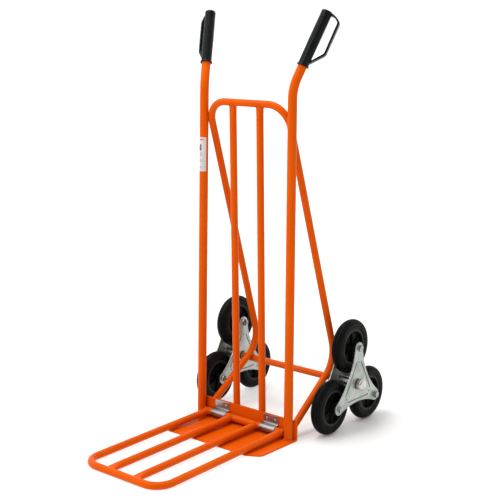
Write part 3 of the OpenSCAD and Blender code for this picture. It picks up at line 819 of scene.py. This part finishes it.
def make_extension():
    w = EXT_HALF_W
    line = route([ext_point(-w, 0), ext_point(-w, -EXT_REACH), ext_point(w, -EXT_REACH),
                  ext_point(w, 0)], [EXT_CORNER_R, EXT_CORNER_R])
    shape = Shape().tube(line, EXT_R)
    for sign in (-1, 1):
        axis = ext_point(0, -100) - ext_point(0, 0)
        corner = (sign * EXT_HALF_W, 0, HINGE_Z)
        shape.bead(saddle_ring(corner, axis, EXT_R, (1, 0, 0), EXT_R), 1.6, seed=sign)
    shape.paint("extension_loop_tube", "extension_loop", "extension")
    for side in SIDES:
        sign = SIGN[side]
        back, front = ext_point(sign * EXT_BAR_X, 0), ext_point(sign * EXT_BAR_X, -EXT_REACH)
        axis = (front - back).normalized()
        near = front - axis * 74
        line = [back, back + axis * 30, near] + finely(near, front - axis * 3, 3)[1:]
        shape = Shape().tube(line, EXT_R, form=pressed(46, 3.6, 7.0, (1, 0, 0), 0.72))
        shape.bead(saddle_ring(back, axis, EXT_R, (1, 0, 0), EXT_R), 1.6, seed=sign)
        wide = int(EXT_R + 2.6)
        line = [front + Vector((t, 10.2, 3.6 - abs(t) * 0.10)) for t in range(-wide, wide + 1)]
        shape.bead(line, 1.5, closed=False, seed=sign)
        shape.paint(f"extension_bar_{side}_tube", f"extension_bar_{side}", "extension")
    half = EXT_HALF_W + EXT_R
    line = [(-half, 0, HINGE_Z), (half, 0, HINGE_Z)]
    shape = Shape().tube(line, EXT_R, hollow=(True, True))
    shape.paint("extension_cross_bar", "extension_cross_tube", "extension")


# ---- Star brackets ----
def star_outline():
    steps, waist_steps = 14, 22
    less = ARM_R - STAR_WAIST
    waist_c = (CIRCLE_R ** 2 - less ** 2) / (CIRCLE_R + 2 * less)
    out = []
    for a in PLACES.values():
        arm = polar(CIRCLE_R, a)
        after = polar(waist_c, a + 60)
        to = after - arm
        spread = (math.degrees(math.atan2(to.y, to.x)) - a) % 360
        out += [arm + polar(ARM_R, a - spread + 2 * spread * i / steps) for i in range(steps + 1)]
        first = out[-1] - after
        nxt = polar(CIRCLE_R, a + 120)
        touch = nxt + (after - nxt).normalized() * ARM_R - after
        a0, a1 = (math.degrees(math.atan2(v.y, v.x)) for v in (first, touch))
        turn = (a1 - a0 + 180) % 360 - 180
        out += [after + polar(first.length, a0 + turn * i / waist_steps) for i in range(1, waist_steps)]
    return out


def star_plate(name, x, groove_face, sign, body, node):
    """One pressed plate. groove_face is 1 where the grooves lie on the face further from the middle."""
    outline = star_outline()
    # local X and Y are world Y and Z, local Z is world X for the right side
    m = placed((0, AXLE_Y, AXLE_Z), (1, 0, 0), (0, 1, 0))
    shape = prism(Shape(), outline, x, x + STAR_T, m)
    cuts = []
    face = x + STAR_T if groove_face > 0 else x
    for a in (30, 150, 270):
        centre = polar(GROOVE_FROM_CENTRE, a)
        turn = Matrix.Rotation(math.radians(a + 90), 4, "Z")
        shift = Matrix.Translation((centre.x, centre.y, 0))
        mouth, floor_line = capsule_outline(*GROOVE_MOUTH), capsule_outline(*GROOVE_FLOOR)
        levels = ((mouth, -0.6), (mouth, 0.1), (floor_line, GROOVE_DEPTH))
        cuts.append(Shape().rings([[Vector((*p, face - groove_face * depth)) for p in line]
                                   for line, depth in levels], matrix=m @ shift @ turn))
    for a in PLACES.values():
        p = polar(SMALL_HOLE_AT, a)
        cuts.append(Shape().lathe([(SMALL_HOLE_R, x - 2), (SMALL_HOLE_R, x + STAR_T + 2)],
                                  m @ Matrix.Translation((p.x, p.y, 0)), sides=24))
    cuts.append(Shape().lathe([(BUSH_R, x - 2), (BUSH_R, x + STAR_T + 2)], m, sides=48))
    if sign < 0:
        for part in [shape] + cuts:
            part.verts = [mirrored(v, -1) for v in part.verts]
    shape.build(name, ZINC, body, "zinc_plate", node, bevel=1.0, cuts=cuts, sharp=30)


def hex_profile(apothem, angle):
    a = (angle + 30) % 60 - 30
    return apothem / math.cos(math.radians(a))


def hex_solid(shape, apothem, low, high, matrix, chamfer_low=False, sides=72, turn=0.0):
    """Hexagon with the round chamfer that bolt heads and nuts have on the outer end."""
    ring_r = apothem * 1.02
    slope = math.tan(math.radians(32))
    angles = [360 * k / sides for k in range(sides)]

    def ring(height, chamfer):
        out = []
        for a in angles:
            r = hex_profile(apothem, a)
            drop = max(0.0, r - ring_r) * slope * chamfer
            out.append(Vector((*polar(r, a + turn), height - drop)))
        return out

    def disc(height, radius):
        return [Vector((*polar(radius, a + turn), height)) for a in angles]

    rings = [disc(low, apothem * 0.93)] if chamfer_low else []
    rings += [ring(low + (0.35 if chamfer_low else 0), -1 if chamfer_low else 0), ring(high - 0.35, 1),
              disc(high, apothem * 0.93)]
    return shape.rings(rings, matrix=matrix)


def make_star(side):
    sign, body = SIGN[side], f"star_{side}"
    star_plate(f"star_inner_{side}_plate", STAR_X, -1, sign, body, f"star_inner_{side}")
    star_plate(f"star_outer_{side}_plate", STAR_OUTER_X, 1, sign, body, f"star_outer_{side}")
    hub = Shape().lathe([(HUB_R, 0), (HUB_R, STAR_GAP), (BUSH_R, STAR_GAP), (BUSH_R, 0)],
                        along_x(sign * (STAR_X + STAR_T), AXLE_Y, AXLE_Z, sign), loop=True)
    for x in (STAR_X + STAR_T + 0.9, STAR_OUTER_X - 0.9):
        centre = Vector((sign * x, AXLE_Y, AXLE_Z))
        hub.bead([centre + Vector((0, *polar(HUB_R + 0.7, a))) for a in range(0, 360, 7)], 1.6)
    hub.build(f"star_hub_{side}_tube", STEEL, body, "zinc_plate", f"star_hub_{side}")
    bolts, nuts, washers = Shape(), Shape(), Shape()
    for i, angle in enumerate(PLACES.values()):
        p = polar(CIRCLE_R, angle)
        y, z = AXLE_Y + p.x, AXLE_Z + p.y
        m = along_x(0, y, z, sign)
        tail = STAR_X - (NUT_H + BOLT_WASHER_T + 3)
        head = STAR_END_X + BOLT_WASHER_T
        bolts.lathe([(3.6, tail), (BOLT_R, tail + 1.4), (BOLT_R, head + 0.2), (3.0, head + 0.3)],
                    m, sides=32)
        hex_solid(bolts, HEAD_AF / 2, head, head + HEAD_H, m, turn=14 + 23 * i)
        end = head + HEAD_H
        bolts.lathe([(6.6, end - 0.3), (6.6, end + 0.25), (6.1, end + 0.45), (5.6, end + 0.1),
                     (5.6, end - 0.3)], m, sides=40, loop=True)
        low = STAR_X - BOLT_WASHER_T - NUT_H
        hex_solid(nuts, HEAD_AF / 2, low, low + NUT_H - 1.2, m, chamfer_low=True, turn=40 - 17 * i)
        nuts.lathe([(BOLT_WASHER_R - 0.6, low + NUT_H - 1.25), (BOLT_WASHER_R - 0.2, low + NUT_H),
                    (BOLT_R, low + NUT_H), (BOLT_R, low + NUT_H - 1.25)], m, sides=40, loop=True)
        for x in (STAR_X - BOLT_WASHER_T, STAR_END_X):
            r, t = BOLT_WASHER_R, BOLT_WASHER_T
            washers.lathe([(BOLT_R + 0.1, x), (r - 0.4, x), (r, x + 0.4), (r, x + t - 0.4),
                           (r - 0.4, x + t), (BOLT_R + 0.1, x + t)], m, sides=48, loop=True)
    bolts.build(f"wheel_bolts_{side}_hex", STEEL, body, "bright_steel", f"wheel_bolts_{side}")
    nuts.build(f"wheel_nuts_{side}_hex", STEEL, body, "bright_steel", f"wheel_nuts_{side}")
    washers.build(f"wheel_washers_{side}_rings", ZINC, body, "zinc_plate", f"wheel_washers_{side}")


def make_axle_caps():
    shape = Shape()
    start = STAR_END_X + 1.5 + 0.4 + 2
    profile = [(AXLE_R, 0), (CAP_R - 0.6, 0), (CAP_R, 0.6), (CAP_R, 8.6), (CAP_R - 0.5, 9.2),
               (CAP_R - 0.5, 9.6), (CAP_R - 0.1, 10.1), (CAP_R - 0.4, 11.6), (CAP_R - 2.0, 13.6),
               (CAP_R - 5.0, 15.2), (CAP_R - 9, 15.8), (0.01, 16.0)]
    for sign in (-1, 1):
        shape.lathe(profile, along_x(sign * start, AXLE_Y, AXLE_Z, sign), sides=72)
    shape.build("axle_end_caps", CHROME, "frame", "chrome_cap", "axle_caps")


# ---- Wheels ----
def tyre_profile():
    """Half outline from the inner seat over the sidewall to the crown, as (radius, half width)."""
    half = [(RIM_R, 12.4), (RIM_LIP_R, 12.4), (RIM_LIP_R + 0.3, 15.6), (RIM_LIP_R + 1.2, 16.4),
            (57.5, 16.9), (61.2, 17.0), (61.6, 16.5), (62.2, 16.5), (62.6, 17.0), (66.6, 17.0),
            (69.4, 16.8), (71.9, 16.2), (73.0, 15.6), (73.2, 14.8), (73.9, 14.4), (74.7, 14.6),
            (76.2, 13.5), (78.0, 11.3), (79.1, 9.6), (79.0, 8.9), (78.3, 8.6), (78.4, 7.8),
            (79.9, 7.4), (80.9, 5.0), (81.5, 2.6), (81.6, 1.4), (80.6, 1.0)]
    return [(r, -h) for r, h in half] + [(80.6, 1.0)] + [(r, h) for r, h in reversed(half[:-1])]


def make_wheel(side, place):
    sign, body = SIGN[side], f"wheel_{side}_{place}"
    p = polar(CIRCLE_R, PLACES[place])
    m = along_x(sign * WHEEL_X, AXLE_Y + p.x, AXLE_Z + p.y, sign)
    sides = TREAD_BLOCKS * 4

    def blocks(k, r, h):
        lug = TREAD_R[0] < r < TREAD_R[1] and TREAD_OUT[0] < abs(h) < TREAD_OUT[1]
        return r - TREAD_CUT if lug and k % 4 == 0 else r

    tyre = Shape().lathe(tyre_profile(), m, sides=sides, loop=True, wobble=blocks)
    tyre.build(f"tyre_{side}_{place}_rubber", RUBBER, body, "tyre_rubber",
               f"tyre_{side}_{place}", sharp=28)

    half, lip, wall = RIM_HALF, RIM_LIP, RIM_WALL
    barrel = [(RIM_R, half - lip), (RIM_LIP_R, half - lip), (RIM_LIP_R, half - 0.7),
              (RIM_LIP_R - 0.7, half), (RIM_R - 1.2, half), (RIM_R - 2.0, half - 0.8),
              (RIM_R - wall, half - 3), (RIM_R - wall - 0.4, 4.2), (RIM_R - wall - 1.6, 3)]
    hub = [(18.0, 3), (15.6, 4.6), (15.0, 7.0), (15.0, WHEEL_HUB_HALF - 0.8), (14.2, WHEEL_HUB_HALF),
           (8.8, WHEEL_HUB_HALF), (8.0, WHEEL_HUB_HALF - 0.8)]
    outer = barrel + hub
    section = outer + [(r, -h) for r, h in reversed(outer)]
    rim = Shape().lathe(section, m, sides=96, loop=True)
    # Each rib as (distance out, half width at its foot, half width at its top, height)
    rib = [(RIB_FROM, 2.1, 1.5, 11.0), (RIB_MIDDLE, 2.1, 1.5, 6.4), (RIB_TO, 2.0, 1.4, 8.6)]
    low_ring = [(x, -w, 2.4) for x, w, _, _ in rib] + [(x, w, 2.4) for x, w, _, _ in reversed(rib)]
    top_ring = [(x, -w, h) for x, _, w, h in rib] + [(x, w, h) for x, _, w, h in reversed(rib)]
    for i in range(RIBS):
        turn = m @ Matrix.Rotation(math.radians(360 / RIBS * i), 4, "Z")
        for s in (-1, 1):
            rim.rings([[Vector((x, y, s * z)) for x, y, z in ring] for ring in (low_ring, top_ring)],
                      matrix=turn)

    # Marks the lip's outer face, which the rim's material paints lighter as a painted highlight.
    def lip_highlight_mask(v):
        radius = math.hypot(v.y - m.translation.y, v.z - m.translation.z)
        return float(radius > RIM_R - 1.5 and abs(v.x - m.translation.x) > half - 0.1)

    rim.build(f"rim_{side}_{place}_plastic", RIM, body, "rim_plastic",
              f"rim_{side}_{place}", band=lip_highlight_mask)


# ---- Grips ----
def make_grip(side):
    sign = SIGN[side]
    reach = handle_vector(sign)
    axis = reach.normalized()
    outward = mirrored((0.9, 0.35, -0.35), sign)
    foot = upright_top(sign) + axis * (reach.length - GRIP_LEN)
    m = placed(foot, axis, outward)
    r, top = GRIP_R, GRIP_LEN
    profile = [(UPRIGHT_R, 1.5), (UPRIGHT_R, 0.2), (r + 1.2, 0), (r + 2.0, 0.8), (r + 2.0, 3.2),
               (r + 1.3, 4.2), (r + 0.1, 5.2), (r - 0.2, 9), (r - 0.2, 12)]
    profile += [(r - 0.2 + 0.2 * math.sin(math.pi * t / 20), 12 + (top - 26) * t / 20)
                for t in range(1, 21)]
    profile += [(r - 0.1, top - 11), (r + 0.0, top - 8), (r + 0.0, top - 4.5), (r - 0.8, top - 2.0),
                (r - 3.0, top - 0.5), (r - 8, top), (0.01, top)]

    def ridges(k, rr, h):
        if RIDGE_CLEAR_LOW < h < top - RIDGE_CLEAR_HIGH:
            edge = smooth((h - RIDGE_CLEAR_LOW) / RIDGE_FADE)
            edge *= smooth((top - RIDGE_CLEAR_HIGH - h) / RIDGE_FADE)
            return rr - RIDGE_CUT * edge * (0.5 - 0.5 * math.cos(math.tau * k / 6))
        return rr

    shape = Shape().lathe(profile, m, sides=120, wobble=ridges)
    g, t = GUARD_REACH, GUARD_T
    outer = rounded([(6, 1.0), (g + 1, 50), (g, 147), (25, top - 5.5), (5, top - 1.2)],
                    [1, 14, 15, 30, 2], 8)
    inner = rounded([(r - 2, 18), (g - t + 0.5, 52.5), (g - t - 0.5, 144), (26, top - 10.5),
                     (r - 2, top - 10)], [3, 10, 11, 6, 2], 8)
    guard_m = m @ Matrix.Rotation(math.radians(90), 4, "X")
    half = GUARD_W / 2
    guard = prism(Shape(), outer, -half, half, guard_m)
    hole = prism(Shape(), inner, -half - 4, half + 4, guard_m)
    shape.build(f"grip_{side}_handle", GRIP, "frame", "grip_plastic", f"grip_{side}", sharp=40)
    guard.build(f"grip_{side}_guard", GRIP, "frame", "grip_plastic", f"grip_{side}",
                cuts=[hole], sharp=40)


def make_label():
    foot, top = upright_foot(-1), upright_top(-1)
    m = placed(foot, top - foot, (0, -1, 0))
    n, rows = 48, 12
    verts, faces = [], []
    for skin in (0.02, 0.28):
        for j in range(rows + 1):
            for i in range(n + 1):
                a = -LABEL_HALF_ANGLE + 2 * LABEL_HALF_ANGLE * i / n
                verts.append(Vector((*polar(UPRIGHT_R + skin, a), LABEL_LOW_Z + LABEL_H * j / rows)))
    w, size = n + 1, (n + 1) * (rows + 1)
    for j in range(rows):
        for i in range(n):
            q = (j * w + i, j * w + i + 1, (j + 1) * w + i + 1, (j + 1) * w + i)
            faces += [tuple(reversed(q)), tuple(k + size for k in q)]
    border = list(range(n)) + [j * w + n for j in range(rows)]
    border += [rows * w + i for i in range(n, 0, -1)] + [j * w for j in range(rows, 0, -1)]
    for a, b in zip(border, border[1:] + border[:1]):
        faces.append((a, b, b + size, a + size))
    shape = Shape().add(verts, faces, m)
    shape.build("upright_label_film", FILM, "frame", "label_film", "label")


for side in SIDES:
    make_upright(side)
    make_back_bar(side)
    make_hinge_bracket(side)
    make_grip(side)
    make_star(side)
    for place in PLACES:
        make_wheel(side, place)
make_back_loop()
make_axle_tube()
make_base_plate()
make_rivets()
make_extension()
make_axle_caps()
make_label()

# CAD nodes that stay get the finish of their slot
slots = {s["node"]: s["material_slot"] for s in frame["record"]["subparts"]}
for name, node in frame["nodes"].items():
    if not node.hide_render:
        shade(node.data, BY_SLOT[slots[name]], 35)

# ---- Floor, light and camera ----
def linked(name, data):
    obj = bpy.data.objects.new(name, data)
    bpy.context.scene.collection.objects.link(obj)
    return obj


def aimed(direction):
    return Vector(direction).to_track_quat("-Z", "Y").to_euler()


def make_floor():
    mesh = bpy.data.meshes.new("floor")
    corners = ((-1, -1), (1, -1), (1, 1), (-1, 1))
    mesh.from_pydata([(x * FLOOR_HALF, y * FLOOR_HALF, -FLOOR_DROP) for x, y in corners],
                     [], [(0, 1, 2, 3)])
    mesh.materials.append(painted_glow_floor())
    linked("floor", mesh)


def make_room():
    """A white room whose side behind the photographer is dimmer."""
    world = bpy.data.worlds.new("studio")
    world.use_nodes = True
    tree = world.node_tree
    toward_dim = tree.nodes.new("ShaderNodeVectorMath")
    toward_dim.operation = "DOT_PRODUCT"
    toward_dim.inputs[1].default_value = TOWARD_DIM
    direction = tree.nodes.new("ShaderNodeTexCoord").outputs["Generated"]
    tree.links.new(direction, toward_dim.inputs[0])
    dim = tree.nodes.new("ShaderNodeMapRange")
    dim.interpolation_type = "SMOOTHSTEP"
    set_range(dim, DIM_FROM, DIM_TO, ROOM_BRIGHT, ROOM_DIM)
    background = tree.nodes["Background"]
    tree.links.new(toward_dim.outputs["Value"], dim.inputs["Value"])
    tree.links.new(dim.outputs["Result"], background.inputs["Strength"])
    background.inputs["Color"].default_value = (1.0, 1.0, 1.0, 1.0)
    bpy.context.scene.world = world


def area_light(name, place, target, size, power):
    light = bpy.data.lights.new(name, "AREA")
    light.shape, light.size, light.size_y, light.energy = "RECTANGLE", size[0], size[1], power
    obj = linked(name, light)
    obj.location = place
    obj.rotation_euler = aimed(Vector(target) - Vector(place))


def make_sun():
    sun = linked("key", bpy.data.lights.new("key", "SUN"))
    sun.data.energy, sun.data.angle = SUN_STRENGTH, math.radians(SUN_ANGLE)
    sun.rotation_euler = aimed(SUN_WAY)


def make_camera():
    level = math.cos(ELEVATION)
    back = Vector((math.sin(AZIMUTH) * level, -math.cos(AZIMUTH) * level, math.sin(ELEVATION)))
    right = Vector((0, 0, 1)).cross(back).normalized()
    up = back.cross(right)
    turned_right = right * math.cos(ROLL) + up * math.sin(ROLL)
    turned_up = up * math.cos(ROLL) - right * math.sin(ROLL)
    camera = linked("camera", bpy.data.cameras.new("camera"))
    camera.matrix_world = Matrix((turned_right, turned_up, back)).transposed().to_4x4()
    camera.location = CAMERA_PLACE
    camera.data.sensor_width, camera.data.lens = SENSOR_MM, LENS_MM
    bpy.context.scene.camera = camera


make_floor()
make_room()
area_light("top", (-0.35, -0.2, 2.7), (0, 0, 0.3), (0.9, 0.5), 20)
area_light("front", (-0.35, -2.3, 2.2), (0, 0, 0.5), (0.8, 0.8), 14)
make_sun()
make_camera()
bpy.context.scene.view_settings.view_transform = "Standard"
